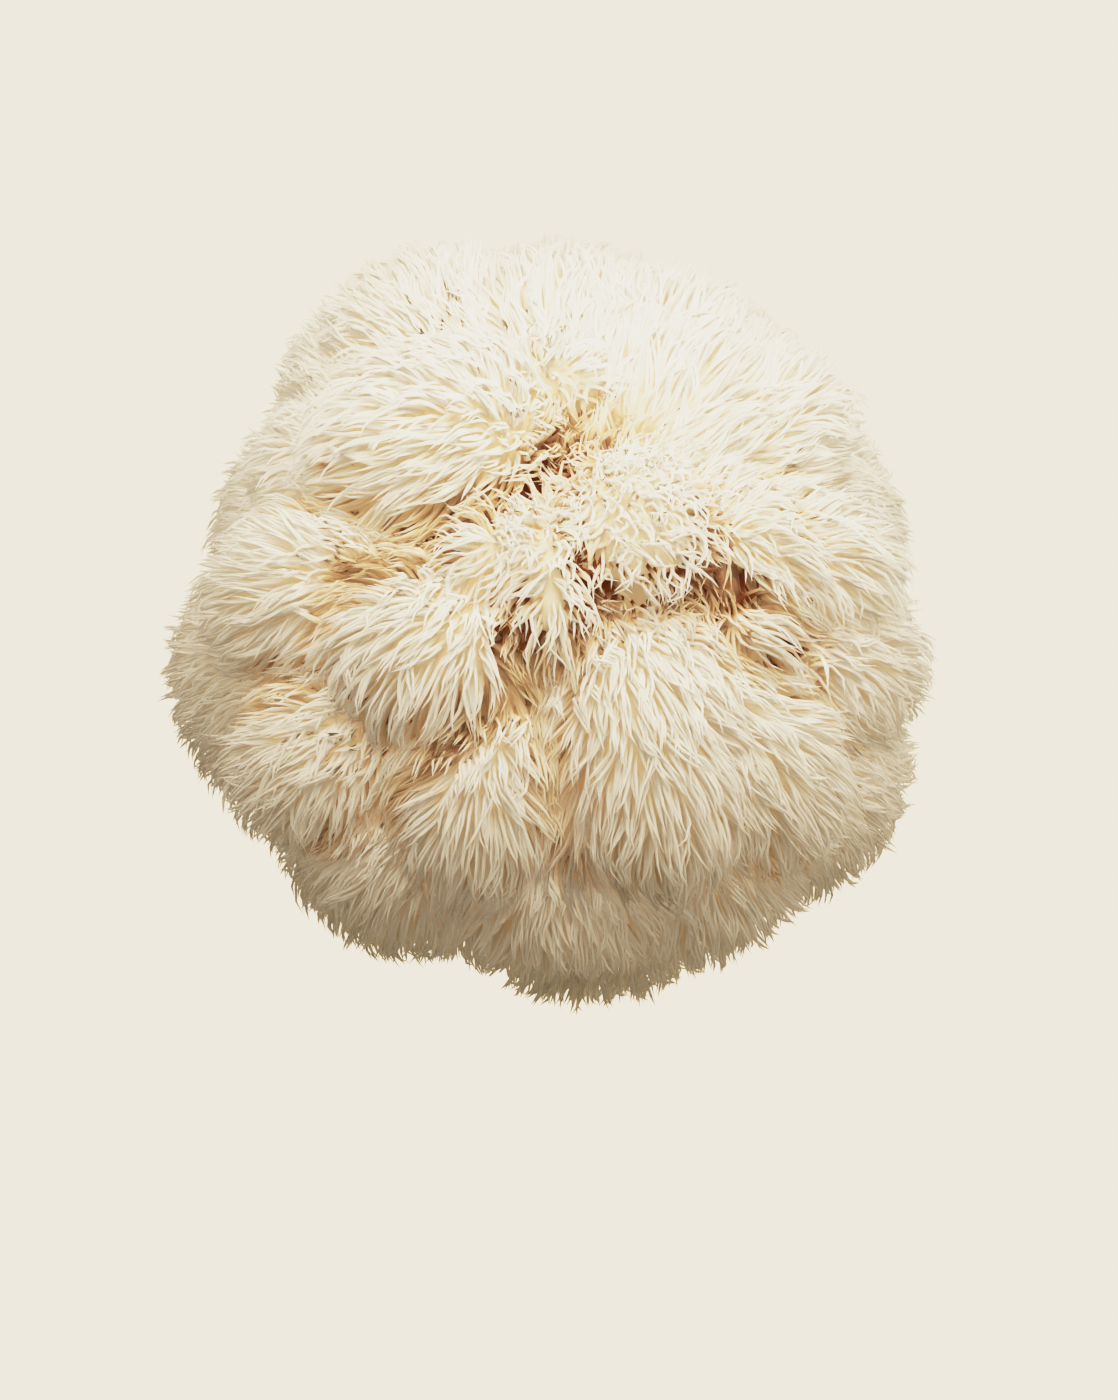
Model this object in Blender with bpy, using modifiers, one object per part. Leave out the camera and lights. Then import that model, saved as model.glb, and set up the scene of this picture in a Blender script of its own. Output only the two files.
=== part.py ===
"""A lion's mane mushroom as cut from its block: one lobed, globe-shaped fruiting body with a mane of soft
spines that part at the crown and hang downhill on every side. It stands on the flat cut of its short stub.

Metres, +Z up. The origin is the middle of the cut. The front is -Y; bearings turn from the front towards +X.
"""

import math
import random

import bmesh
import bpy
from mathutils import Matrix, Vector
from mathutils.bvhtree import BVHTree

# Driving dimensions
HALF_WIDTH = 0.0865
HALF_DEPTH = 0.0905
HALF_HEIGHT = 0.0825
GLOBE_HEIGHT = 0.070  # of the globe's middle over the cut
STUB_RADIUS = 0.031
STUB_FLARE = 1.25
STUB_SINK = 0.008  # how far the stub runs past the cut before it is cut
LOBE_TILT = 11  # degrees; the lower end of each lobe stands out over the next one
LOCK_LENGTH = 0.030
LOCK_RADIUS = 0.0040

CORE_SHRINK = 0.020  # how far the solid core lies inside the globe
BALL_SIDES = 28
BALL_RINGS = 18
STUB_SIDES = 40
VOXEL = 0.0028
SMOOTHING = 0.5
SMOOTHING_ROUNDS = 2
BODY_TRIANGLES = 1800
WELD_DISTANCE = 0.00001
SLAB_WIDTH = 0.4
SLAB_DEPTH = 0.04
FAR_OUT = 0.3  # a distance from the globe's middle that lies well outside the mushroom
# A lock's roots are at these shares of a lobe's half width and half length. Its sink, lift and widths from
# root to tip are shares of its radius, and its knee lies at a share of its length. Rise, spread and droop
# turn it outwards, to one side and down.
LOCK_PLACES = ((-0.62, 0.3), (0.0, 0.58), (0.62, 0.3), (0.0, -0.2))
LOCK_WIDTHS = (0.9, 1.0, 0.1)
LOCK_SINK = 1.3
LOCK_LIFT = 0.0
LOCK_KNEE = 0.5
LOCK_RISE = 0.2
LOCK_SPREAD = 0.3
LOCK_DROOP = 0.35
LENGTH_RANGE = (0.85, 1.15)
LOWEST_ROOT = 0.014
FLOOR_GAP = 0.0008  # the tips of the locks stay this far over the plane of the cut
FLESH = (0.90, 0.85, 0.75, 1.0)
ROUGHNESS = 0.75

# Each lobe is a cushion that follows the globe: name, bearing and latitude in degrees, roll of its long axis
# from straight downhill in degrees, then in millimetres its half width across, half length along, half
# thickness, and how far it stands proud of the globe.
LOBES = [
    ("crown_tuft", 33, 69, 15, 19, 19, 17, 8),
    ("pole_tongue", 171, 87, 125, 11, 17, 14, 3),
    ("upper_left_cushion", -80, 70, 0, 24, 30, 24, 8),
    ("centre_tuft", 1, 61, 5, 11, 19, 16, 8),
    ("centre_bridge", -23, 62, 15, 13, 14, 15, 5),
    ("centre_left_lobe", -31, 45, 0, 24, 20, 22, 7),
    ("big_front_left", 16, 35, 0, 22, 35, 23, 6),
    ("big_front_right", 38, 24, -10, 21, 33, 23, 4),
    ("small_right", 44, 43, -10, 10, 14, 15, 4),
    ("small_right_edge", 53, 30, -15, 8, 11, 13, 1),
    ("front_strip", 3, 24, 0, 10, 21, 14, -2),
    ("front_tongue", -15, 27, 0, 20, 27, 22, 5),
    ("right_of_crown", 59, 57, -5, 14, 19, 18, 6),
    ("right_outer", 75, 44, -5, 15, 22, 20, 4),
    ("right_lobe", 66, 20, -20, 19, 24, 18, 0),
    ("left_lobe", -65, 38, 35, 21, 28, 21, 4),
    ("lower_left", -46, 16, 20, 22, 24, 20, 6),
    ("left_strip", -99, 42, 10, 17, 22, 17, -3),
    ("low_left", -29, 2, 15, 24, 21, 17, 3),
    ("shade_front", -2, -0, 0, 28, 22, 17, 1),
    ("shade_right", 30, -4, -15, 27, 22, 17, 2),
    ("top_left", -143, 47, 15, 24, 24, 18, -1),
    ("top_middle", 179, 59, 0, 25, 25, 18, -4),
    ("top_right", 138, 56, -25, 25, 25, 19, -3),
    ("right_shoulder", 95, 72, -55, 27, 29, 20, 0),
    ("upper_right", 103, 50, -35, 20, 22, 19, 2),
    ("left_low", -75, -2, 25, 25, 27, 17, 0),
    ("right_low", 59, -10, -20, 24, 26, 17, 2),
    ("left_shoulder", -133, 32, 20, 24, 27, 18, -2),
    ("back_left", -148, 10, 10, 28, 29, 19, 0),
    ("back_middle", 179, 16, 0, 28, 30, 19, 0),
    ("back_right", 145, 11, -10, 28, 30, 19, -2),
    ("far_right", 108, 10, -10, 26, 30, 18, -7),
    ("far_left", -111, 3, 10, 24, 26, 17, -5),
    ("skirt_left", -90, -29, 0, 26, 22, 16, -1),
    ("skirt_back_left", -130, -27, 0, 27, 22, 16, -1),
    ("skirt_back", -170, -26, 0, 27, 22, 16, -1),
    ("skirt_back_right", 146, -28, 0, 27, 22, 16, -1),
    ("skirt_right", 104, -27, 0, 27, 22, 16, -1),
    ("skirt_front_right", 66, -36, 0, 25, 19, 15, -2),
    ("skirt_front", 12, -40, 0, 28, 19, 15, 0),
    ("skirt_front_left", -48, -36, 0, 27, 19, 15, 1),
]

HALF = Vector((HALF_WIDTH, HALF_DEPTH, HALF_HEIGHT))
MIDDLE = Vector((0, 0, GLOBE_HEIGHT))


def clear_scene():
    for item in list(bpy.data.objects):
        bpy.data.objects.remove(item, do_unlink=True)


def new_collection(name):
    collection = bpy.data.collections.new(name)
    bpy.context.scene.collection.children.link(collection)
    return collection


def move_to(collection, item):
    for old in list(item.users_collection):
        old.objects.unlink(item)
    collection.objects.link(item)


def on_globe(bearing, latitude):
    """The point on the globe at this bearing and latitude, its outward normal, and the way downhill."""
    turn, rise = math.radians(bearing), math.radians(latitude)
    unit = Vector((math.sin(turn) * math.cos(rise), -math.cos(turn) * math.cos(rise), math.sin(rise)))
    point = MIDDLE + unit * HALF
    normal = Vector((unit.x / HALF.x, unit.y / HALF.y, unit.z / HALF.z)).normalized()
    outward = Vector((math.sin(turn), -math.cos(turn), 0))
    downhill = outward * math.sin(rise) - Vector((0, 0, 1)) * math.cos(rise)
    downhill = (downhill - normal * downhill.dot(normal)).normalized()
    return point, normal, downhill


def lobe_frame(bearing, latitude, roll, thick, proud):
    """The lobe's middle, and the turn that takes X across it, Y along it and Z out of the globe."""
    point, normal, downhill = on_globe(bearing, latitude)
    across = downhill.cross(normal)
    along = downhill * math.cos(math.radians(roll)) + across * math.sin(math.radians(roll))
    side = along.cross(normal)
    tilt = Matrix.Rotation(math.radians(LOBE_TILT), 3, side)
    turn = tilt @ Matrix((side, along, normal)).transposed()
    return point - normal * (thick - proud), turn


def add_ball(name, middle, turn, half_sizes):
    bpy.ops.mesh.primitive_uv_sphere_add(segments=BALL_SIDES, ring_count=BALL_RINGS, radius=1)
    ball = bpy.context.object
    ball.name = name
    ball.matrix_world = Matrix.LocRotScale(middle, turn.to_quaternion(), Vector(half_sizes))
    return ball


def add_lobes():
    balls = [add_ball("core", MIDDLE, Matrix.Identity(3), [h - CORE_SHRINK for h in HALF])]
    for name, bearing, latitude, roll, across, along, thick, proud in LOBES:
        middle, turn = lobe_frame(bearing, latitude, roll, thick / 1000, proud / 1000)
        balls.append(add_ball(name, middle, turn, (across / 1000, along / 1000, thick / 1000)))
    return balls


def add_stub():
    """The short stub that held the mushroom to its block, running past the cut."""
    bpy.ops.mesh.primitive_cone_add(
        vertices=STUB_SIDES, radius1=STUB_RADIUS, radius2=STUB_RADIUS * STUB_FLARE, depth=GLOBE_HEIGHT
    )
    stub = bpy.context.object
    stub.name = "stub"
    stub.location.z = GLOBE_HEIGHT / 2 - STUB_SINK
    return stub


def join(objects, name):
    bpy.ops.object.select_all(action="DESELECT")
    for item in objects:
        item.select_set(True)
    bpy.context.view_layer.objects.active = objects[0]
    bpy.ops.object.join()
    joined = bpy.context.object
    joined.name = name
    bpy.ops.object.transform_apply(location=True, rotation=True, scale=True)
    return joined


def evaluated_mesh(item):
    graph = bpy.context.evaluated_depsgraph_get()
    return bpy.data.meshes.new_from_object(item.evaluated_get(graph))


def add_modifier(item, kind, **settings):
    modifier = item.modifiers.new(kind.title(), kind)
    for key, value in settings.items():
        setattr(modifier, key, value)
    return modifier


def fuse_body():
    """Core, lobes and stub as one lumpy skin with creases between the lobes."""
    body = join([*add_lobes(), add_stub()], "fruiting_body")
    add_modifier(body, "REMESH", mode="VOXEL", voxel_size=VOXEL, adaptivity=0)
    add_modifier(body, "SMOOTH", factor=SMOOTHING, iterations=SMOOTHING_ROUNDS)
    skin = evaluated_mesh(body)
    skin.calc_loop_triangles()
    add_modifier(
        body, "DECIMATE", decimate_type="COLLAPSE", ratio=BODY_TRIANGLES / len(skin.loop_triangles)
    )
    return body


def skin_of(body):
    """The body's evaluated skin, for finding places on it."""
    skin = evaluated_mesh(body)
    return BVHTree.FromPolygons([v.co for v in skin.vertices], [p.vertices for p in skin.polygons])


def lock_roots(skin):
    """Places for locks on every lobe, left out where another lobe covers them: point, normal and way."""
    for name, bearing, latitude, roll, across, along, thick, proud in LOBES:
        middle, turn = lobe_frame(bearing, latitude, roll, thick / 1000, proud / 1000)
        for u, v in LOCK_PLACES:
            rise = math.sqrt(1 - u * u - v * v)
            place = middle + turn @ Vector((u * across, v * along, rise * thick)) / 1000
            way = (place - MIDDLE).normalized()
            point, normal, _, _ = skin.ray_cast(MIDDLE + way * FAR_OUT, -way)
            if point and point.z > LOWEST_ROOT and (point - place).length < LOCK_RADIUS:
                yield point, normal, turn.col[1]


def lock_path(skin, point, normal, way, chance):
    """A lock leaves the skin, lies along its lobe and lets its tip hang free: points from root to tip."""
    length = LOCK_LENGTH * chance.uniform(*LENGTH_RANGE)
    down = Vector((0, 0, -LOCK_DROOP))
    way = way + way.cross(normal) * chance.uniform(-LOCK_SPREAD, LOCK_SPREAD) + down
    way = (way - normal * way.dot(normal)).normalized()
    knee, above, _, _ = skin.find_nearest(point + way * length * LOCK_KNEE)
    knee += above * LOCK_RADIUS * LOCK_LIFT
    hang = (way + above * LOCK_RISE + down).normalized()
    return point - normal * LOCK_RADIUS * LOCK_SINK, knee, knee + hang * length * (1 - LOCK_KNEE)


def add_locks(body):
    """All the locks of spines as one curve with tapering splines, made a closed mesh."""
    chance = random.Random(7)
    skin = skin_of(body)
    curve = bpy.data.curves.new("locks", "CURVE")
    curve.dimensions = "3D"
    curve.bevel_depth = LOCK_RADIUS
    curve.bevel_resolution = 0
    curve.use_fill_caps = True
    for root, normal, way in lock_roots(skin):
        spline = curve.splines.new("POLY")
        path = lock_path(skin, root, normal, way, chance)
        spline.points.add(len(path) - 1)
        for control, place, width in zip(spline.points, path, LOCK_WIDTHS):
            lowest = FLOOR_GAP + width * LOCK_RADIUS
            control.co = (place.x, place.y, max(place.z, lowest), 1)
            control.radius = width
    guide = bpy.data.objects.new("lock_guide", curve)
    bpy.context.scene.collection.objects.link(guide)
    bpy.context.view_layer.update()
    mesh = evaluated_mesh(guide)
    bpy.data.objects.remove(guide, do_unlink=True)
    locks = bpy.data.objects.new("locks", mesh)
    bpy.context.scene.collection.objects.link(locks)
    add_modifier(locks, "WELD", merge_threshold=WELD_DISTANCE)
    return locks


def add_floor_cutter():
    """A slab under the cut's plane."""
    bpy.ops.mesh.primitive_cube_add(size=1)
    slab = bpy.context.object
    slab.name = "floor_cutter"
    slab.scale = (SLAB_WIDTH, SLAB_WIDTH, SLAB_DEPTH)
    slab.location.z = -SLAB_DEPTH / 2
    return slab


def keep_main_shell(item):
    """Makes the fused form a plain mesh and drops the small pockets that the fusing closed off inside it."""
    skin = evaluated_mesh(item)
    item.modifiers.clear()
    item.data = skin
    shape = bmesh.new()
    shape.from_mesh(skin)
    shells = []
    seen = set()
    for start in shape.verts:
        if start in seen:
            continue
        shell = [start]
        seen.add(start)
        for vertex in shell:
            for edge in vertex.link_edges:
                other = edge.other_vert(vertex)
                if other not in seen:
                    seen.add(other)
                    shell.append(other)
        shells.append(shell)
    shells.sort(key=len)
    for pocket in shells[:-1]:
        bmesh.ops.delete(shape, geom=pocket, context="VERTS")
    shape.to_mesh(skin)
    shape.free()


def flesh_material():
    material = bpy.data.materials.new("ivory_flesh")
    material.use_nodes = True
    shader = material.node_tree.nodes["Principled BSDF"]
    shader.inputs["Base Color"].default_value = FLESH
    shader.inputs["Roughness"].default_value = ROUGHNESS
    return material


def build():
    clear_scene()
    mushroom = new_collection("lions_mane_mushroom")
    cutters = new_collection("cutters")
    body = fuse_body()
    locks = add_locks(body)
    slab = add_floor_cutter()
    add_modifier(body, "BOOLEAN", operation="UNION", object=locks, solver="EXACT", use_self=True)
    add_modifier(body, "BOOLEAN", operation="DIFFERENCE", object=slab, solver="EXACT")
    keep_main_shell(body)
    for cutter in (locks, slab):
        cutter.hide_render = True
        cutter.display_type = "WIRE"
        move_to(cutters, cutter)
    body.data.materials.clear()
    body.data.materials.append(flesh_material())
    move_to(mushroom, body)


build()
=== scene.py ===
"""The looks of a lion's mane mushroom: warm flesh in lobes, and a mane of about forty thousand soft spines
that grow from it in pointed locks, lie downhill over each lobe and hang free at its lower edge.

Metres. The mushroom stands on its cut at z = 0 with its front towards -Y. Bearings turn from the front
towards +X.
"""

import math

import bmesh
import bpy
import numpy as np
from mathutils import Matrix, Vector
from mathutils.kdtree import KDTree


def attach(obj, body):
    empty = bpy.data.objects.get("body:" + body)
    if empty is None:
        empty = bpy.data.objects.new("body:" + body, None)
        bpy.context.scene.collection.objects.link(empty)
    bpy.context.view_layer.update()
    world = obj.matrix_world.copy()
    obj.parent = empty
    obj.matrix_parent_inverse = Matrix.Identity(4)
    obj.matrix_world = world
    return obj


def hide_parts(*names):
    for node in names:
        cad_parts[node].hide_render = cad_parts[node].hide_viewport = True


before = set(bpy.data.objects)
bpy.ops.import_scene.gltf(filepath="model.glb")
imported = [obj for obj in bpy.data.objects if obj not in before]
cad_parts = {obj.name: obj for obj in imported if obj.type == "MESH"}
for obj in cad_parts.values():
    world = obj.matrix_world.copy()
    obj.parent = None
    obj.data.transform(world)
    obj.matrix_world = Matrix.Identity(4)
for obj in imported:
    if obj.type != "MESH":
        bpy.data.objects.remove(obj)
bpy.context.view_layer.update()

# The globe that the lobes follow, and the stub under it
HALF = np.array([0.0865, 0.0905, 0.0825])
MIDDLE = np.array([0.0, 0.0, 0.070])
CORE_SHRINK = 0.020  # how far the core lies inside the globe
LOBE_TILT = 13  # degrees; the lower end of each lobe stands out over the next one
STUB_RADIUS = 0.030
STUB_TOP_RADIUS = 0.0372
STUB_SINK = 0.008  # how far the stub runs past the cut before it is cut

# Each lobe: name, bearing and latitude in degrees, roll of its long axis from straight downhill in degrees,
# then in millimetres its half width across, half length along, half thickness, and how far it stands proud
# of the globe.
LOBES = [
    ("crown_tuft", 26, 66, 15, 20, 23, 18, 10),
    ("pole_tongue", 171, 87, 125, 11, 17, 14, 2),
    ("upper_left_cushion", -80, 70, 0, 24, 30, 24, 8),
    ("centre_tuft", -2, 60, 0, 12, 21, 17, 9),
    ("centre_bridge", -23, 62, 15, 13, 14, 15, 5),
    ("centre_left_lobe", -29, 46, 0, 26, 21, 22, 7),
    ("big_front_left", 17, 35, 0, 24, 35, 24, 6),
    ("big_front_right", 36, 24, -10, 21, 32, 23, 4),
    ("small_right", 44, 43, -10, 10, 14, 15, 4),
    ("small_right_edge", 53, 30, -15, 8, 11, 13, 1),
    ("front_strip", 3, 24, 0, 10, 21, 14, -2),
    ("front_tongue", -15, 27, 0, 20, 27, 22, 5),
    ("right_of_crown", 55, 53, -5, 15, 22, 19, 7),
    ("right_outer", 70, 40, -10, 16, 23, 20, 4),
    ("right_lobe", 66, 20, -20, 19, 24, 18, 0),
    ("left_lobe", -65, 38, 35, 21, 28, 21, 5),
    ("lower_left", -46, 16, 20, 22, 24, 20, 6),
    ("left_strip", -99, 42, 10, 17, 22, 17, -5),
    ("low_left", -29, 2, 15, 24, 21, 17, 2),
    ("shade_front", -2, 0, 0, 28, 22, 17, -1),
    ("shade_right", 30, -4, -15, 27, 22, 17, 0),
    ("top_left", -142, 46, 15, 24, 25, 18, 1),
    ("top_middle", 179, 59, 0, 25, 25, 18, -4),
    ("top_right", 138, 56, -25, 25, 25, 19, -3),
    ("right_shoulder", 95, 72, -55, 27, 29, 20, 0),
    ("upper_right", 103, 50, -35, 20, 22, 19, 2),
    ("left_low", -75, -2, 25, 25, 27, 17, 1),
    ("right_low", 57, -12, -20, 24, 26, 17, 1),
    ("left_shoulder", -133, 32, 20, 24, 27, 18, -3),
    ("back_left", -148, 10, 10, 28, 29, 19, 0),
    ("back_middle", 179, 16, 0, 28, 30, 19, 0),
    ("back_right", 145, 11, -10, 28, 30, 19, -2),
    ("far_right", 108, 10, -10, 26, 30, 18, -7),
    ("far_left", -111, 3, 10, 24, 26, 17, -5),
    ("skirt_left", -90, -29, 0, 26, 22, 16, -1),
    ("skirt_back_left", -130, -27, 0, 27, 22, 16, -1),
    ("skirt_back", -170, -26, 0, 27, 22, 16, -1),
    ("skirt_back_right", 146, -28, 0, 27, 22, 16, -1),
    ("skirt_right", 104, -27, 0, 27, 22, 16, -1),
    ("skirt_front_right", 66, -36, 0, 25, 19, 15, -2),
    ("skirt_front", 12, -40, 0, 28, 19, 15, 0),
    ("skirt_front_left", -48, -36, 0, 27, 19, 15, 1),
]

# Deep creases between lobes: name, depth and half width in millimetres, and the bearings and latitudes that
# each one runs through.
CREASES = [
    ("under_cushion", 10, 5.5, [(-54, 49), (-47, 56), (-43, 61)]),
    ("cushion_and_left", 6.5, 3.5, [(-47, 56), (-59, 55), (-70, 53), (-87, 53), (-106, 49)]),
    ("cushion_and_bridge", 4.5, 4, [(-43, 61), (-33, 67), (-8, 77)]),
    ("cushion_and_top", 3, 5, [(-116, 51), (-128, 64), (-145, 76)]),
    ("cushion_and_tongue", 2, 5, [(-145, 76), (-33, 86), (1, 79)]),
    ("pole", 5.5, 8, [(11, 81), (51, 82), (74, 76)]),
    ("left_of_crown", 5, 3.5, [(1, 78), (5, 69), (9, 63)]),
    ("under_crown", 10, 4, [(7, 61), (20, 57), (34, 53), (44, 50)]),
    ("right_of_crown", 4.5, 3.5, [(38, 54), (52, 62), (73, 64)]),
    ("centre_hole", 8, 3, [(-10, 57), (-8, 49), (-3, 47)]),
    ("beside_big", 8, 3, [(10, 57), (0, 48), (-5, 45)]),
    ("right_crack", 5, 3.5, [(44, 50), (50, 42), (53, 34), (53, 24), (56, 14)]),
    ("small_right_lower", 4, 5, [(37, 44), (44, 35), (50, 29)]),
    ("big_and_tongue", 7, 4.5, [(-6, 46), (-2, 35), (0, 22), (4, 8)]),
    ("tongue_and_left", 7, 5, [(-7, 45), (-20, 35), (-27, 26), (-29, 16)]),
    ("left_and_lower", 6, 5, [(-48, 33), (-56, 20), (-66, 1)]),
    ("left_and_centre", 6, 4.5, [(-44, 55), (-52, 46), (-53, 36), (-48, 33)]),
    ("under_big", 8, 5, [(0, 12), (14, 8), (31, 4), (49, -8)]),
    ("under_tongue", 6, 5, [(-23, 7), (-13, 9), (-2, 12)]),
    ("under_lower_left", 6, 5, [(-52, -6), (-36, 9), (-26, 17)]),
    ("middle_of_big", 1.5, 6, [(34, 42), (28, 29), (30, 9)]),
    ("strip_edge", 3, 5, [(5, 40), (8, 26), (9, 12)]),
    ("left_edge", 5, 5, [(-72, 52), (-78, 43), (-82, 32)]),
    ("right_pair", 4, 5, [(77, 55), (66, 48), (54, 45)]),
]

# Lobes with curlier spines, and how curly
CURLY = {
    "crown_tuft": 1.0,
    "centre_tuft": 0.6,
    "centre_bridge": 0.5,
    "pole_tongue": 0.4,
    "right_of_crown": 0.35,
}

# The flesh
FLESH_DEPTH = 0.0058  # how far it lies under the mane's surface
FLESH_VOXEL = 0.0030
BALL_SIDES = 32
BALL_RINGS = 20
STUB_SIDES = 64
SMOOTHING = 0.5
SMOOTHING_ROUNDS = 3
SHARP_EDGE = 50  # degrees; steeper edges, such as the rim of the cut, stay sharp

# The spines and their meshes
SPINES = 41500
SPINE_LENGTH = 0.0140
SPINE_RADIUS = 0.00050
GIRTHS = (0.8, 1.15)  # shares of SPINE_RADIUS
PLAIN_RINGS = 4
CURLY_RINGS = 5  # of the spines on the crown
CROWDING = 1.5  # how much denser the spines stand at the upper end of a lobe
LOWEST_ROOT = 0.013
BARE_CREASE = 0.0070  # no spines grow where a crease is deeper than this
FLOOR_GAP = 0.0006
SEED = 12

# A lock of spines follows one guide. Sway turns a whole spine sideways, curl turns it more towards its tip,
# and rise lifts its tip off the lobe. Each spine differs a little from its lock.
GUIDES = 10500
LOCK_LENGTHS = (0.85, 1.15)  # shares of SPINE_LENGTH
LOCK_SWAY = 0.245
LOCK_CURL = 0.61
CURLY_LIVELIER = 0.7  # how much more the locks of a curly lobe sway and curl
LOCK_RISE = 0.0042
FLAT_LOCKS = 1.8  # the higher this is, the fewer locks rise far
SPINE_LENGTHS = (0.6, 1.1)  # shares of the lock's length
SPINE_SWAY = 0.1
SPINE_CURL = 0.2
SPINE_RISE = (-0.0008, 0.0012)
CURLY_SHORTER = 0.4
CREASE_SHORTER = 0.55
HOLD = (0.35, 0.85)  # how much of the way to its guide the tip of a spine is drawn
HOLD_LATE = 1.5  # the higher this is, the nearer to the tip that starts
CURLY_LOOSER = 0.5
WAVE = 0.0009
CURLY_WAVE = 0.0028
WAVE_SHARES = (0.3, 1.0)
WAVE_TURNS = (0.4, 1.2)

# How a spine grows, step by step
GROWTH_STEPS = 6
START_OUT = 0.8  # a spine leaves the flesh this much outwards
START_ALONG = 0.7  # and this much along its lobe
SURFACING = 2.5  # the higher this is, the sooner it comes up to the mane's surface
STEERING = 0.003  # it turns fully towards its wanted height over this gap
DIVE = 0.45  # how steeply it may turn down to that height
DROOP = 0.12
TIP_DROOP = 0.3
TURNING = 0.45  # how much of the way to its target it turns in one step

# How the crevices that take the painted shade are found: how far the lobes close round a place, seen
# straight out and at a slant
LOOK_STEPS = (0.005, 0.011, 0.020)
LOOK_SLANT = 48
DEEP_CREASE = 0.008
DEEP_SHARE = 0.45  # how much a crease that deep adds

# The picture's response to light: even up to the knee, then bending over towards white
KNEE = 0.45
PAST_KNEE = 0.76  # how steep it is just past the knee
WHITE = 0.875
BRIGHTEST = 3.0
CURVE_PLACES = (0.2, 0.4, 0.55, 0.75, 1.0, 1.3, 1.7, 2.2)

# The room's pale colour, before the picture's response softens it
PALE = (1.0, 0.784, 0.533, 1.0)
PALE_STRENGTH = 1.97

# Colours, as 0 to 255. A pair is two shades between which the spines, or the grain of the flesh, vary.
PALE_SPINES = ((250, 236, 213), (253, 242, 223))
# The roots' warmer colour is partly the spines' own tone and partly painted warm shade deep in the mane
WARM_SHADED_ROOTS = ((248, 219, 176), (252, 228, 193))
TAN_FLESH = ((243, 214, 172), (249, 226, 192))
# Painted shade: the tan that the spines turn in the hollows among the lobes stands in for shade and warm
# bounced light there
HOLLOW_PAINTED_SHADE = (242, 205, 156)
# Painted shade: the brown that the spines and the flesh turn in the deep crevices stands in for the shade
# there
CREVICE_PAINTED_SHADE = (114, 52, 9)
# Painted glow: the spines and the flesh give off light of their own, standing in for light scattered inside
# and between them
GLOW_TINT = (255, 222, 172)
GLOW = 0.07  # how much light the spines and the flesh give back from inside

# The share of a spine's length over which its warm root, partly painted shade, turns pale, the depths among
# the lobes over which the spines take the painted tan and then brown shade, and those over which the flesh
# takes the painted brown shade
ROOT_SHARE = (0.0, 0.45)
HOLLOW_DEPTHS = (0.28, 0.62)
CREVICE_DEPTHS = (0.55, 0.88)
FLESH_DEPTHS = (0.5, 0.9)
GRAIN_SCALE = 180.0
GRAIN_DETAIL = 4.0

PELT = 0.66  # how much a spine is shaded like the pelt around it and not like a lone spine
PELT_ROUND = 1.5  # how much that pelt is shaded like the whole globe, against like its own lobe

FLOOR_SIZE = 40

# How the camera looks at the mushroom; the last two numbers are pixel rows of the photograph
CAMERA_ELEVATION = 55
CAMERA_DISTANCE = 0.75
LENS, SENSOR = 85, 36
PHOTO_HEIGHT = 1400
PHOTO_CENTRE_ROW = 611  # the mushroom's middle


def unit(vectors):
    return vectors / np.maximum(np.linalg.norm(vectors, axis=-1, keepdims=True), 1e-12)


def lobe_frame(bearing, latitude, roll, thick, proud):
    """The lobe's middle, and its axes as columns: across it, along it and out of the globe."""
    turn, rise = math.radians(bearing), math.radians(latitude)
    outward = np.array([math.sin(turn), -math.cos(turn), 0.0])
    ball = outward * math.cos(rise) + np.array([0, 0, math.sin(rise)])
    normal = unit(ball / HALF)
    downhill = outward * math.sin(rise) - np.array([0, 0, math.cos(rise)])
    downhill = unit(downhill - normal * (downhill @ normal))
    across = np.cross(downhill, normal)
    along = downhill * math.cos(math.radians(roll)) + across * math.sin(math.radians(roll))
    side = np.cross(along, normal)
    tilt = math.radians(LOBE_TILT)
    along, normal_out = (
        along * math.cos(tilt) + normal * math.sin(tilt),
        normal * math.cos(tilt) - along * math.sin(tilt),
    )
    middle = MIDDLE + ball * HALF - normal * (thick - proud)
    return middle, np.stack([side, along, normal_out], axis=1)


def on_globe(bearing, latitude):
    turn, rise = math.radians(bearing), math.radians(latitude)
    ball = np.array([math.sin(turn) * math.cos(rise), -math.cos(turn) * math.cos(rise), math.sin(rise)])
    return MIDDLE + ball * HALF


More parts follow.
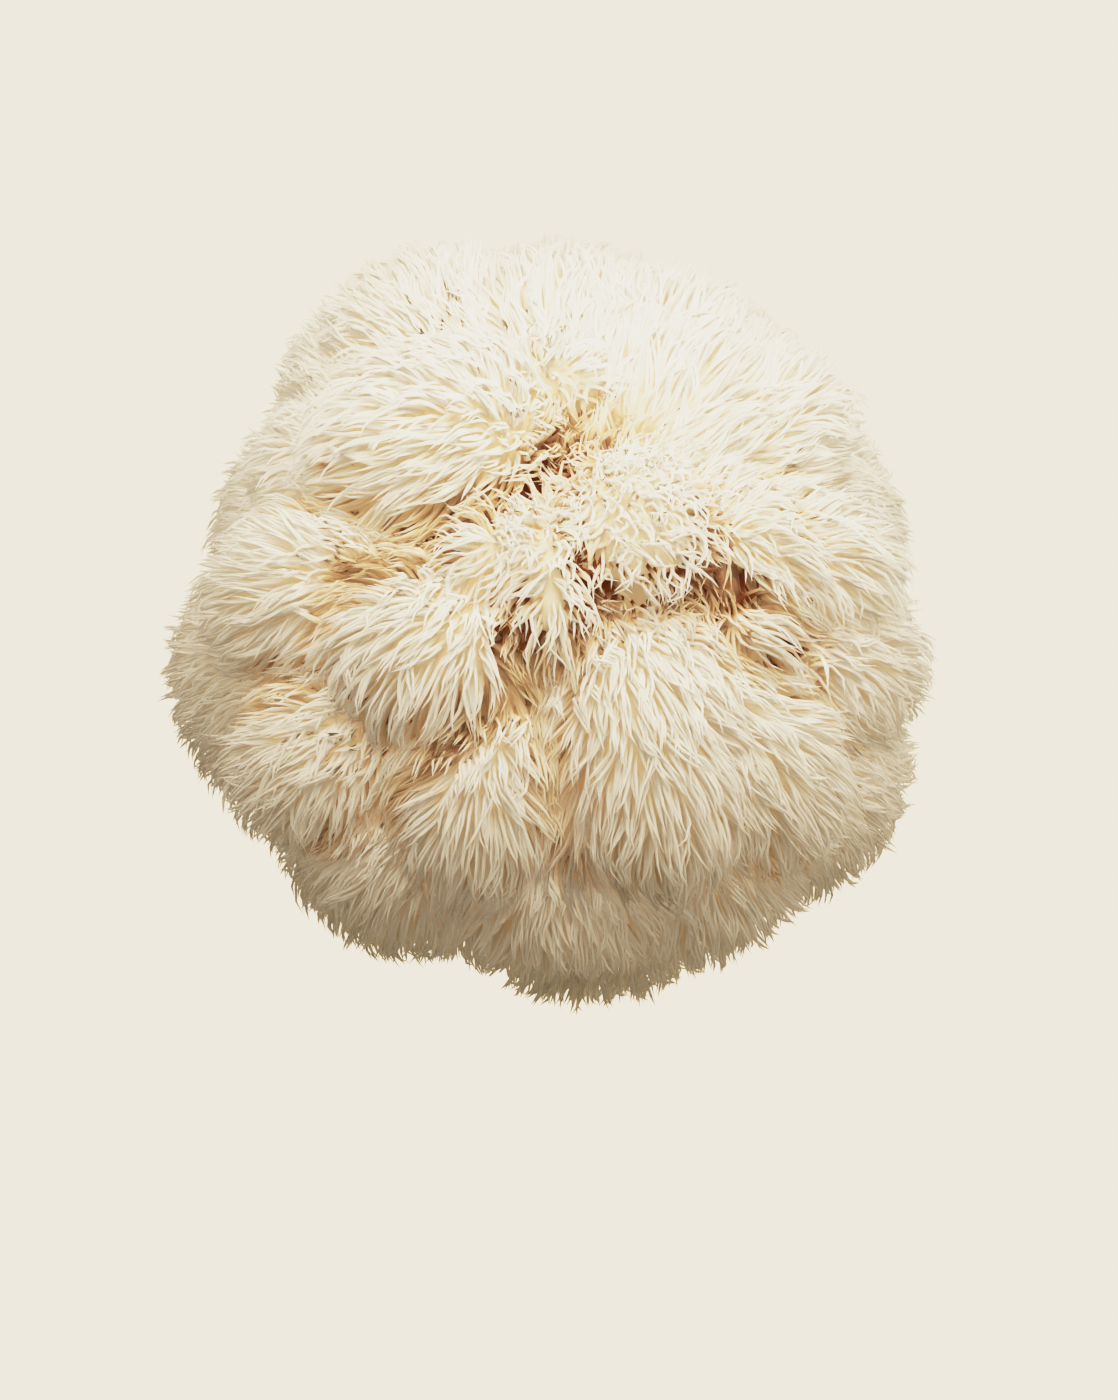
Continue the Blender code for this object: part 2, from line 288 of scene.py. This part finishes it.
class Lobes:
    """The lobes and the creases between them as one soft shape that can be measured at any points."""

    BLEND = 0.0012  # how softly neighbouring lobes run into each other
    UPPER = 0.4  # where a lobe's upper end starts, as a share of its half length below its middle
    FAN = 0.36  # how much the spines of one lobe spread from its middle line
    FAN_EDGE = 1.5  # past this share of the lobe's half width they spread no more
    SLOWING = 0.5  # how much less they run downhill at its upper end
    RISE = 1.3  # how much they grow outwards there before they turn down

    def __init__(self, shrink=0.0):
        rows = [(MIDDLE, np.eye(3), HALF - CORE_SHRINK)]
        for name, bearing, latitude, roll, across, along, thick, proud in LOBES:
            middle, axes = lobe_frame(bearing, latitude, roll, thick / 1000, proud / 1000)
            rows.append((middle, axes, np.array([across, along, thick]) / 1000))
        self.middles = np.array([row[0] for row in rows])
        self.axes = np.array([row[1] for row in rows])
        self.sizes = np.array([row[2] for row in rows]) - shrink
        self.curls = np.array([0.0] + [CURLY.get(lobe[0], 0.0) for lobe in LOBES])
        starts, ends, depths, widths = [], [], [], []
        for name, depth, width, spots in CREASES:
            line = [on_globe(*spot) for spot in spots]
            starts += line[:-1]
            ends += line[1:]
            depths += [depth / 1000] * (len(line) - 1)
            widths += [width / 1000] * (len(line) - 1)
        self.starts, self.spans = np.array(starts), np.array(ends) - np.array(starts)
        self.depths, self.widths = np.array(depths), np.array(widths)

    def crease(self, points):
        """How much the deepest crease near each point sinks the surface, and the slope that it makes."""
        away = points[:, None] - self.starts
        share = np.einsum("nsk,sk->ns", away, self.spans) / np.sum(self.spans**2, axis=1)
        away = away - np.clip(share, 0, 1)[..., None] * self.spans
        far = np.sum(away**2, axis=2) / self.widths**2
        sink = self.depths * np.exp(-far)
        rows, deepest = np.arange(len(points)), sink.argmax(axis=1)
        sink, away, width = sink[rows, deepest], away[rows, deepest], self.widths[deepest]
        return sink, -2 * (sink / width**2)[:, None] * away

    def gaps(self, points):
        """The distance from each point to each lobe's skin, and the way out of it in the lobe's frame."""
        local = np.einsum("nlk,lkj->nlj", points[:, None] - self.middles, self.axes)
        scaled = local / self.sizes
        slope = scaled / self.sizes
        reach = np.linalg.norm(scaled, axis=2)
        steep = np.maximum(np.linalg.norm(slope, axis=2), 1e-9)
        return reach * (reach - 1) / steep, slope / steep[:, :, None]

    def measure(self, points):
        """Each point's height over the surface, and the way out of it."""
        gap, slope = self.gaps(points)
        nearest = gap.min(axis=1, keepdims=True)
        weight = np.exp((nearest - gap) / self.BLEND)
        total = weight.sum(axis=1, keepdims=True)
        height = nearest[:, 0] - self.BLEND * np.log(total[:, 0])
        out = np.einsum("nl,nlk,ljk->nj", weight / total, slope, self.axes)
        sink, incline = self.crease(points)
        return height + sink, unit(unit(out) + incline)

    def owners(self, points):
        """The lobe that each point belongs to."""
        return self.gaps(points)[0][:, 1:].argmin(axis=1) + 1

    def upper_end(self, points):
        """How near each point is to the upper end of its lobe, from 0 on its lower part to 1 high up."""
        own = self.owners(points)
        along = np.einsum("nk,nk->n", points - self.middles[own], self.axes[own][:, :, 1])
        return np.clip(self.UPPER - along / self.sizes[own][:, 1], 0, 1)

    def follow(self, points, own):
        """Each point's height over its own lobe, the way out of that lobe, and the way its spines lie."""
        axes, sizes = self.axes[own], self.sizes[own]
        scaled = np.einsum("nk,nkj->nj", points - self.middles[own], axes) / sizes
        slope = scaled / sizes
        steep = np.maximum(np.linalg.norm(slope, axis=1), 1e-9)
        reach = np.linalg.norm(scaled, axis=1)
        upper = np.clip(-scaled[:, 1], 0, 1)
        ways = np.zeros_like(scaled)
        ways[:, 0] = self.FAN * np.clip(scaled[:, 0], -self.FAN_EDGE, self.FAN_EDGE)
        ways[:, 1] = 1 - self.SLOWING * upper
        ways[:, 2] = self.RISE * upper
        out = np.einsum("nk,njk->nj", slope / steep[:, None], axes)
        return reach * (reach - 1) / steep, out, np.einsum("nk,njk->nj", ways, axes)


MANE = Lobes()
FLESH = Lobes(FLESH_DEPTH)


# Making the flesh


def deselect_all():
    bpy.ops.object.select_all(action="DESELECT")


def add_ball(middle, axes, sizes):
    bpy.ops.mesh.primitive_uv_sphere_add(segments=BALL_SIDES, ring_count=BALL_RINGS, radius=1)
    ball = bpy.context.object
    turn = Matrix([list(row) for row in axes]).to_quaternion()
    ball.matrix_world = Matrix.LocRotScale(Vector(middle), turn, Vector(sizes))
    return ball


def join(objects, name):
    deselect_all()
    for item in objects:
        item.select_set(True)
    bpy.context.view_layer.objects.active = objects[0]
    bpy.ops.object.join()
    joined = bpy.context.object
    joined.name = name
    bpy.ops.object.transform_apply(location=True, rotation=True, scale=True)
    return joined


def apply_modifier(item, kind, **settings):
    modifier = item.modifiers.new(kind.title(), kind)
    for key, value in settings.items():
        setattr(modifier, key, value)
    bpy.context.view_layer.objects.active = item
    bpy.ops.object.modifier_apply(modifier=modifier.name)


def drop_pockets(item):
    """Deletes every closed pocket inside the flesh, and leaves its outer skin."""
    shape = bmesh.new()
    shape.from_mesh(item.data)
    shells, seen = [], set()
    for start in shape.verts:
        if start in seen:
            continue
        shell = [start]
        seen.add(start)
        for vertex in shell:
            for edge in vertex.link_edges:
                other = edge.other_vert(vertex)
                if other not in seen:
                    seen.add(other)
                    shell.append(other)
        shells.append(shell)
    shells.sort(key=len)
    for pocket in shells[:-1]:
        bmesh.ops.delete(shape, geom=pocket, context="VERTS")
    shape.to_mesh(item.data)
    shape.free()


def sink_creases(flesh):
    """Moves the flesh inwards along the creases, down to its depth under the mane's surface."""
    points = np.empty(len(flesh.data.vertices) * 3)
    flesh.data.vertices.foreach_get("co", points)
    points = points.reshape(-1, 3)
    normals = np.empty_like(points)
    flesh.data.vertices.foreach_get("normal", normals.ravel())
    sink, _ = FLESH.crease(points + normals * FLESH_DEPTH)
    points -= normals * sink[:, None]
    # closed: how deep each place lies among the lobes, the mask of the painted crevice shade on the flesh
    add_values(flesh.data, "closed", crevice(points + normals * FLESH_DEPTH))
    flesh.data.vertices.foreach_set("co", points.ravel())
    flesh.data.update()


def make_flesh():
    deselect_all()
    parts = [add_ball(*row) for row in zip(FLESH.middles, FLESH.axes, FLESH.sizes)]
    bpy.ops.mesh.primitive_cone_add(
        vertices=STUB_SIDES, radius1=STUB_RADIUS, radius2=STUB_TOP_RADIUS, depth=MIDDLE[2]
    )
    stub = bpy.context.object
    stub.location.z = MIDDLE[2] / 2 - STUB_SINK
    flesh = join([*parts, stub], "flesh")
    apply_modifier(flesh, "REMESH", mode="VOXEL", voxel_size=FLESH_VOXEL)
    apply_modifier(flesh, "SMOOTH", factor=SMOOTHING, iterations=SMOOTHING_ROUNDS)
    drop_pockets(flesh)
    sink_creases(flesh)
    deselect_all()
    flesh.select_set(True)
    bpy.context.view_layer.objects.active = flesh
    bpy.ops.object.mode_set(mode="EDIT")
    bpy.ops.mesh.select_all(action="SELECT")
    bpy.ops.mesh.bisect(plane_co=(0, 0, 0), plane_no=(0, 0, 1), clear_inner=True, use_fill=True)
    bpy.ops.object.mode_set(mode="OBJECT")
    bpy.ops.object.shade_smooth_by_angle(angle=math.radians(SHARP_EDGE))
    return flesh


# Growing the spines


def scatter(flesh, count, chance):
    """Places spread evenly over the flesh by area."""
    mesh = flesh.data
    mesh.calc_loop_triangles()
    corners = np.empty(len(mesh.loop_triangles) * 3, np.int32)
    mesh.loop_triangles.foreach_get("vertices", corners)
    points = np.empty(len(mesh.vertices) * 3)
    mesh.vertices.foreach_get("co", points)
    faces = points.reshape(-1, 3)[corners.reshape(-1, 3)]
    area = np.linalg.norm(np.cross(faces[:, 1] - faces[:, 0], faces[:, 2] - faces[:, 0]), axis=1)
    area[faces[:, :, 2].max(axis=1) < LOWEST_ROOT] = 0
    area *= 1 + CROWDING * MANE.upper_end(faces.mean(axis=1))
    edges = np.cumsum(area) / area.sum()
    picks = np.searchsorted(edges, (np.arange(count) + chance.random(count)) / count)
    picks = faces[np.minimum(picks, len(faces) - 1)]
    a, b = np.sort(chance.random((2, count)), axis=0)[..., None]
    return picks[:, 0] * a + picks[:, 1] * (b - a) + picks[:, 2] * (1 - b)


def grow(roots, own, length, sway, curl, rise):
    """Each spine's path from its root: up out of the flesh, down along the lobe, and free at the tip."""
    _, out, lie = MANE.follow(roots, own)
    way = unit(out * START_OUT + unit(lie) * START_ALONG)
    place = roots.copy()
    path = [place]
    for i in range(GROWTH_STEPS):
        share = (i + 1) / GROWTH_STEPS
        wanted = -FLESH_DEPTH * (1 - share) ** SURFACING + rise * share**2
        height, out, lie = MANE.follow(place, own)
        lift = np.clip((wanted - height) / STEERING, -DIVE * (1 - share), 1.0)[:, None]
        lie = unit(lie - out * np.sum(lie * out, axis=1, keepdims=True))
        side = np.cross(lie, out)
        target = lie + out * lift + side * (sway + curl * share)
        height, out = MANE.measure(place)
        target += out * np.clip((wanted - height) / STEERING, 0.0, 1.0)[:, None]
        target[:, 2] -= DROOP + TIP_DROOP * share
        way = unit(way * (1 - TURNING) + unit(target) * TURNING)
        place = place + way * length / GROWTH_STEPS
        place[:, 2] = np.maximum(place[:, 2], FLOOR_GAP + SPINE_RADIUS)
        path.append(place)
    return np.stack(path, axis=1)


def nearest_guides(roots, guide_roots):
    tree = KDTree(len(guide_roots))
    for i, place in enumerate(guide_roots):
        tree.insert(place, i)
    tree.balance()
    return np.array([tree.find(place)[1] for place in roots])


def grow_locks(flesh, chance):
    """Every spine's path, and how far the lobes close round it. The spines of one lock sway and curl alike
    and draw together towards its tip."""
    guide_roots = scatter(flesh, GUIDES, chance)
    lock_length = chance.uniform(*LOCK_LENGTHS, (GUIDES, 1))
    guide_own = MANE.owners(guide_roots)
    livelier = 1 + CURLY_LIVELIER * MANE.curls[guide_own][:, None]
    lock_sway = chance.normal(0, LOCK_SWAY, (GUIDES, 1)) * livelier
    lock_curl = chance.normal(0, LOCK_CURL, (GUIDES, 1)) * livelier
    lock_rise = LOCK_RISE * chance.random(GUIDES) ** FLAT_LOCKS
    guides = grow(guide_roots, guide_own, SPINE_LENGTH * lock_length, lock_sway, lock_curl, lock_rise)

    roots = scatter(flesh, SPINES, chance)
    sink = MANE.crease(roots)[0]
    kept = (roots[:, 2] > LOWEST_ROOT) & (sink < BARE_CREASE)
    roots, sink = roots[kept], sink[kept]
    mine = nearest_guides(roots, guide_roots)
    count = len(roots)
    own = MANE.owners(roots)
    curly = MANE.curls[own][:, None]
    length = SPINE_LENGTH * lock_length[mine] * chance.uniform(*SPINE_LENGTHS, (count, 1))
    length = length * (1 - CURLY_SHORTER * curly)
    length = length * (1 - CREASE_SHORTER * np.clip(sink / BARE_CREASE, 0, 1))[:, None]
    sway = lock_sway[mine] + chance.normal(0, SPINE_SWAY, (count, 1))
    curl = lock_curl[mine] + chance.normal(0, SPINE_CURL, (count, 1))
    rise = lock_rise[mine] + chance.uniform(*SPINE_RISE, count)
    paths = grow(roots, own, length, sway, curl, rise)

    share = np.linspace(0, 1, GROWTH_STEPS + 1)[None, :, None]
    hold = chance.uniform(*HOLD, (count, 1, 1)) * (1 - CURLY_LOOSER * curly[..., None])
    paths = paths + (guides[mine] - paths) * hold * share**HOLD_LATE
    paths = paths + wave(paths, roots, curly, share, chance)
    paths[..., 2] = np.maximum(paths[..., 2], FLOOR_GAP + SPINE_RADIUS)
    # how deep each lock lies among the lobes, the mask of the painted hollow and crevice shade on its
    # spines
    closed = crevice(guides.reshape(-1, 3)).reshape(guides.shape[:2])
    return paths, closed[mine]


def wave(paths, roots, curly, share, chance):
    """How far each spine winds off its path, more and more towards the tip."""
    ahead = unit(np.gradient(paths, axis=1))
    side = unit(np.cross(ahead, unit(roots - MIDDLE)[:, None]))
    lift = np.cross(side, ahead)
    one_each = (len(roots), 1, 1)
    angle = chance.uniform(0, 2 * math.pi, one_each)
    angle = angle + 2 * math.pi * share * chance.uniform(*WAVE_TURNS, one_each)
    width = (WAVE + CURLY_WAVE * curly[..., None]) * share * chance.uniform(*WAVE_SHARES, one_each)
    return width * (side * np.cos(angle) + lift * np.sin(angle))


def crevice(points):
    """How deep the mane's surface at each point lies among the lobes: 0 in the open, and 1 or more in a
    crevice. It is the mask of the painted shade in the hollows and crevices."""
    height, out = MANE.measure(points)
    points = points + out * np.maximum(-height, 0)[:, None]
    out = unit(points - MIDDLE)
    side = unit(np.cross(out, np.array([0.0, 0.0, 1.0])))
    up = np.cross(side, out)
    slant = math.radians(LOOK_SLANT)
    closed = np.zeros(len(points))
    total = 0.0
    for turn in (None, 0, 90, 180, 270):
        way, share = out, 1.0
        if turn is not None:
            around = side * math.cos(math.radians(turn)) + up * math.sin(math.radians(turn))
            way, share = out * math.cos(slant) + around * math.sin(slant), math.cos(slant)
        for step in LOOK_STEPS:
            height = MANE.gaps(points + way * step)[0].min(axis=1)
            closed += share * (1 - np.clip(height / (step * share), 0, 1))
            total += share
    deep = np.clip(MANE.crease(points)[0] / DEEP_CREASE, 0, 1)
    return closed / total + DEEP_SHARE * deep**2


# Making the spines' mesh

# A spine's widths, as shares of its full width, at these shares of its length
WIDTH_PLACES = (0.0, 0.35, 0.7, 0.9)
WIDTHS = (0.95, 1.0, 0.72, 0.36)

# The bearings of a spine's three corners, in degrees, and where they lie across its strip of the UV map
CORNERS = (90, 330, 210)
CORNER_PLACES = (0.15, 0.5, 0.85)
STRIP_MARGIN = 0.06  # what a strip leaves free at its root and at its tip
STRIPS_WIDER = 5  # how many times more strips stand side by side than over each other


def resample(values, count):
    """The same run of values along each spine, read off at evenly spaced places."""
    at = np.linspace(0, values.shape[1] - 1, count)
    low = np.minimum(at.astype(int), values.shape[1] - 2)
    share = (at - low).reshape(1, -1, *[1] * (values.ndim - 2))
    return values[:, low] * (1 - share) + values[:, low + 1] * share


def spine_piece(name, paths, girth, tone, closed, rings):
    """One mesh of three-sided spines that taper to a point."""
    paths, closed = resample(paths, rings + 1), resample(closed, rings + 1)
    count = len(paths)
    ahead = unit(np.gradient(paths, axis=1))
    up = unit(paths.mean(axis=1) - MIDDLE)[:, None]
    side = unit(np.cross(ahead, up))
    lift = np.cross(side, ahead)
    angles = np.radians(CORNERS)
    ring = (
        side[:, :rings, None] * np.cos(angles)[:, None] + lift[:, :rings, None] * np.sin(angles)[:, None]
    )
    widths = np.interp(np.arange(rings) / rings, WIDTH_PLACES, WIDTHS)
    wide = (girth[:, None] * widths * SPINE_RADIUS)[..., None, None]
    skin = (paths[:, :rings, None] + ring * wide).reshape(count, -1, 3)
    verts = np.concatenate([skin, paths[:, rings:]], axis=1)
    middles = paths[:, rings // 2]
    lobe = MANE.follow(middles, MANE.owners(middles))[1]
    pelt = unit(lobe + PELT_ROUND * unit(middles - MIDDLE))
    normals = np.concatenate([ring.reshape(count, -1, 3), pelt[:, None]], axis=1)
    normals = unit(normals * (1 - PELT) + pelt[:, None] * PELT)
    per = rings * 3 + 1
    quads = []
    for i in range(rings - 1):
        for j in range(3):
            k = (j + 1) % 3
            quads.append((i * 3 + j, i * 3 + k, i * 3 + 3 + k, i * 3 + 3 + j))
    last = (rings - 1) * 3
    triangles = [(last + j, last + (j + 1) % 3, per - 1) for j in range(3)] + [(2, 1, 0)]
    base = (np.arange(count) * per)[:, None, None]
    quads = (np.array(quads)[None] + base).reshape(-1, 4)
    triangles = (np.array(triangles)[None] + base).reshape(-1, 3)

    mesh = bpy.data.meshes.new(name)
    mesh.vertices.add(count * per)
    mesh.vertices.foreach_set("co", verts.ravel())
    corners = np.concatenate([quads.ravel(), triangles.ravel()]).astype(np.int32)
    mesh.loops.add(len(corners))
    mesh.loops.foreach_set("vertex_index", corners)
    starts = np.concatenate(
        [np.arange(len(quads)) * 4, len(quads) * 4 + np.arange(len(triangles)) * 3]
    ).astype(np.int32)
    mesh.polygons.add(len(starts))
    mesh.polygons.foreach_set("loop_start", starts)
    mesh.update(calc_edges=True)
    mesh.validate()
    mesh.shade_smooth()
    mesh.normals_split_custom_set_from_vertices(normals.reshape(-1, 3))

    reach = np.concatenate([np.repeat(np.arange(rings) / rings, 3), [1.0]])
    add_values(mesh, "reach", np.tile(reach, count))
    add_values(mesh, "tone", np.repeat(tone, per))
    steps = np.concatenate([np.repeat(np.arange(rings), 3), [rings]])
    # the mask of the painted hollow and crevice shade
    add_values(mesh, "closed", closed[:, steps].ravel())
    add_strips(mesh, count, per, reach)
    piece = bpy.data.objects.new(name, mesh)
    bpy.context.scene.collection.objects.link(piece)
    return piece


def add_values(mesh, name, values):
    layer = mesh.attributes.new(name, "FLOAT", "POINT")
    layer.data.foreach_set("value", np.asarray(values, np.float32))


def add_strips(mesh, count, per, reach):
    """A UV map with a strip of its own for each spine, root at the bottom and tip at the top."""
    columns = math.ceil(math.sqrt(count * STRIPS_WIDER))
    rows = math.ceil(count / columns)
    corners = np.empty(len(mesh.loops), np.int32)
    mesh.loops.foreach_get("vertex_index", corners)
    spine, point = np.divmod(corners, per)
    column, row = spine % columns, spine // columns
    across = np.where(point == per - 1, 0.5, np.array(CORNER_PLACES)[point % 3])
    along = STRIP_MARGIN + (1 - 2 * STRIP_MARGIN) * reach[point]
    places = np.stack([(column + across) / columns, (row + along) / rows], axis=1)
    layer = mesh.uv_layers.new(name="OFBake")
    layer.data.foreach_set("uv", places.astype(np.float32).ravel())


# Materials


class Value:
    """A shader socket that can be used in Python arithmetic; each operation adds a Math node."""

    def __init__(self, maker, socket):
        self.maker = maker
        self.socket = socket

    def _math(self, operation, *values):
        return self.maker.node("ShaderNodeMath", {"operation": operation}, *values)

    def __sub__(self, other):
        return self._math("SUBTRACT", self, other)

    def __rsub__(self, other):
        return self._math("SUBTRACT", other, self)

    def __truediv__(self, other):
        return self._math("DIVIDE", self, other)

    def __rtruediv__(self, other):
        return self._math("DIVIDE", other, self)


class Maker:
    """Builds one material's nodes."""

    def __init__(self, name):
        self.material = bpy.data.materials.new(name)
        self.material.use_nodes = True
        self.tree = self.material.node_tree
        self.shader = self.tree.nodes["Principled BSDF"]

    def node(self, kind, settings, *values, output=0):
        """A node with these settings, whose sockets take the values or links in order; None skips one."""
        node = self.tree.nodes.new(kind)
        for key, value in settings.items():
            setattr(node, key, value)
        for socket, value in zip([s for s in node.inputs if s.enabled], values):
            self.put(socket, value)
        return Value(self, [s for s in node.outputs if s.enabled][output])

    def put(self, socket, value):
        if isinstance(value, Value):
            self.tree.links.new(value.socket, socket)
        elif value is not None:
            socket.default_value = value

    def attribute(self, name):
        return self.node("ShaderNodeAttribute", {"attribute_name": name}, output=2)

    def mix(self, factor, one, other, blend="MIX"):
        """One colour where the factor is 0 or less, and the other where it is 1 or more."""
        settings = {"data_type": "RGBA", "blend_type": blend, "clamp_factor": True}
        return self.node("ShaderNodeMix", settings, factor, colour(one), colour(other))

    def noise(self, scale, detail):
        place = self.node("ShaderNodeTexCoord", {}, output=3)
        return self.node("ShaderNodeTexNoise", {}, place, scale, detail)

    def set(self, **values):
        for name, value in values.items():
            self.put(self.shader.inputs[name.replace("_", " ")], value)
        return self.material


def colour(value):
    """A colour of 0 to 255 as the linear values that a socket takes; a link stays as it is."""
    if isinstance(value, Value):
        return value
    shares = [v / 255 for v in value]
    return (*(v / 12.92 if v < 0.04045 else ((v + 0.055) / 1.055) ** 2.4 for v in shares), 1.0)


def within(value, low, high):
    """0 where the value is low, and 1 where it is high."""
    return (value - low) / (high - low)


def spine_material():
    m = Maker("spines")
    reach, tone, closed = m.attribute("reach"), m.attribute("tone"), m.attribute("closed")
    pale = m.mix(tone, *PALE_SPINES)
    # the warm roots: partly the spines' own tone, partly painted warm shade deep in the mane
    warm = m.mix(tone, *WARM_SHADED_ROOTS)
    body = m.mix(within(reach, *ROOT_SHARE), warm, pale)
    # painted shade: tan in the hollows among the lobes
    hollow = m.mix(within(closed, *HOLLOW_DEPTHS), body, HOLLOW_PAINTED_SHADE)
    # painted shade: brown in the deep crevices
    crevice = m.mix(within(closed, *CREVICE_DEPTHS), hollow, CREVICE_PAINTED_SHADE)
    return m.set(
        Base_Color=crevice,
        Roughness=0.6,
        Specular_IOR_Level=0.25,
        # painted glow, standing in for light scattered inside and between the spines
        Emission_Color=m.mix(1.0, crevice, GLOW_TINT, "MULTIPLY"),
        Emission_Strength=GLOW,
    )


def flesh_material():
    m = Maker("flesh")
    tan = m.mix(m.noise(GRAIN_SCALE, GRAIN_DETAIL), *TAN_FLESH)
    # painted shade: brown in the deep creases of the flesh
    crevice = m.mix(within(m.attribute("closed"), *FLESH_DEPTHS), tan, CREVICE_PAINTED_SHADE)
    return m.set(
        Base_Color=crevice,
        Roughness=0.7,
        # painted glow, as on the spines
        Emission_Color=m.mix(1.0, crevice, GLOW_TINT, "MULTIPLY"),
        Emission_Strength=GLOW,
    )


# Dividing the mane

# The pieces round the body and the bearing of each one's middle. The crown is a piece of its own.
SECTORS = [
    ("mane_front", 0),
    ("mane_front_right", 52),
    ("mane_right", 103),
    ("mane_back_right", 154),
    ("mane_back_left", -154),
    ("mane_left", -103),
    ("mane_front_left", -52),
]
CROWN_LATITUDE = 56  # the crown's spines stand above this


def divide(paths):
    """The sector of each spine: 0 for the crown, then one for each bearing."""
    way = unit((paths[:, 2] - MIDDLE) / HALF)
    bearing = np.degrees(np.arctan2(way[:, 0], -way[:, 1]))
    latitude = np.degrees(np.arcsin(way[:, 2]))
    middles = np.array([middle for _, middle in SECTORS])
    away = np.abs((bearing[:, None] - middles + 180) % 360 - 180)
    return np.where(latitude > CROWN_LATITUDE, 0, away.argmin(axis=1) + 1)


def make_mushroom():
    chance = np.random.default_rng(SEED)
    flesh = make_flesh()
    flesh.data.materials.append(flesh_material())
    paths, closed = grow_locks(flesh, chance)
    tone = chance.random(len(paths))
    girth = chance.uniform(*GIRTHS, len(paths))
    sector = divide(paths)
    material = spine_material()
    pieces = [flesh]
    for i, name in enumerate(["mane_crown"] + [name for name, _ in SECTORS]):
        mine = sector == i
        rings = PLAIN_RINGS if i else CURLY_RINGS
        piece = spine_piece(name, paths[mine], girth[mine], tone[mine], closed[mine], rings)
        piece.data.materials.append(material)
        pieces.append(piece)
    for piece in pieces:
        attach(piece, "root")
        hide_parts("fruiting_body")


# Room, lights and camera

WARM = (1.0, 0.92, 0.79)
OLIVE = (1.0, 0.93, 0.5)

# Each light: name, place, size, power, tint, and whether it casts shadows
LIGHTS = [
    ("overhead", (0.14, 0.12, 1.3), 1.1, 28.5, WARM, True),
    ("left_fill", (-0.95, 0.5, 0.95), 1.2, 8.8, WARM, False),
    ("right_fill", (0.9, 0.0, 0.8), 1.2, 7.0, WARM, False),
    ("front_fill", (0.05, -0.3, 1.3), 1.2, 3.6, WARM, False),
    ("floor_fill", (0.0, -0.4, -1.0), 1.2, 2.5, OLIVE, True),
]


def make_floor():
    deselect_all()
    bpy.ops.mesh.primitive_plane_add(size=FLOOR_SIZE)
    floor = bpy.context.object
    floor.name = "floor"
    m = Maker("pale_floor")
    m.set(
        Base_Color=(0.0, 0.0, 0.0, 1.0),
        Roughness=1.0,
        Specular_IOR_Level=0.0,
        Emission_Color=PALE,
        Emission_Strength=PALE_STRENGTH,
    )
    floor.data.materials.append(m.material)
    floor.visible_diffuse = False
    floor.visible_shadow = False


def add_area(name, place, size, power, tint):
    """A round light that faces the mushroom's middle."""
    light = bpy.data.lights.new(name, "AREA")
    light.shape = "DISK"
    light.size = size
    light.energy = power
    light.color = tint
    item = bpy.data.objects.new(name, light)
    item.location = place
    item.rotation_euler = (Vector(place) - Vector(MIDDLE)).to_track_quat("Z", "Y").to_euler()
    bpy.context.scene.collection.objects.link(item)
    return light


def light_room():
    world = bpy.data.worlds.new("soft_room")
    bpy.context.scene.world = world
    world.use_nodes = True
    background = world.node_tree.nodes["Background"].inputs
    background["Color"].default_value = PALE
    background["Strength"].default_value = PALE_STRENGTH
    world.cycles_visibility.diffuse = False
    world.cycles_visibility.glossy = False
    for name, place, size, power, tint, shadow in LIGHTS:
        add_area(name, place, size, power, tint).use_shadow = shadow


def response(light):
    """How bright the picture shows this much light."""
    room = WHITE - KNEE
    over = max(light - KNEE, 0.0)
    return min(light, KNEE) + room * (1 - math.exp(-over * PAST_KNEE / room))


def soften_whites():
    """Keeps the bright lobes from washing out, as the photograph does."""
    view = bpy.context.scene.view_settings
    view.view_transform = "Standard"
    view.use_curve_mapping = True
    mapping = view.curve_mapping
    mapping.white_level = (BRIGHTEST,) * 3
    curve = mapping.curves[3]
    curve.points[0].location = (0, 0)
    curve.points[1].location = (1, response(BRIGHTEST))
    for light in CURVE_PLACES:
        curve.points.new(light / BRIGHTEST, response(light))
    mapping.update()


def make_camera():
    data = bpy.data.cameras.new("camera")
    data.lens = LENS
    data.sensor_fit = "VERTICAL"
    data.sensor_height = SENSOR
    camera = bpy.data.objects.new("camera", data)
    rise = math.radians(CAMERA_ELEVATION)
    back = Vector((0, -math.cos(rise), math.sin(rise)))
    up = Vector((0, math.sin(rise), math.cos(rise)))
    camera.rotation_euler = back.to_track_quat("Z", "Y").to_euler()
    pixel = CAMERA_DISTANCE * SENSOR / LENS / PHOTO_HEIGHT
    lower = up * (PHOTO_CENTRE_ROW - PHOTO_HEIGHT / 2) * pixel
    camera.location = Vector(MIDDLE) + back * CAMERA_DISTANCE + lower
    bpy.context.scene.collection.objects.link(camera)
    bpy.context.scene.camera = camera


make_mushroom()
make_floor()
light_room()
soften_whites()
make_camera()
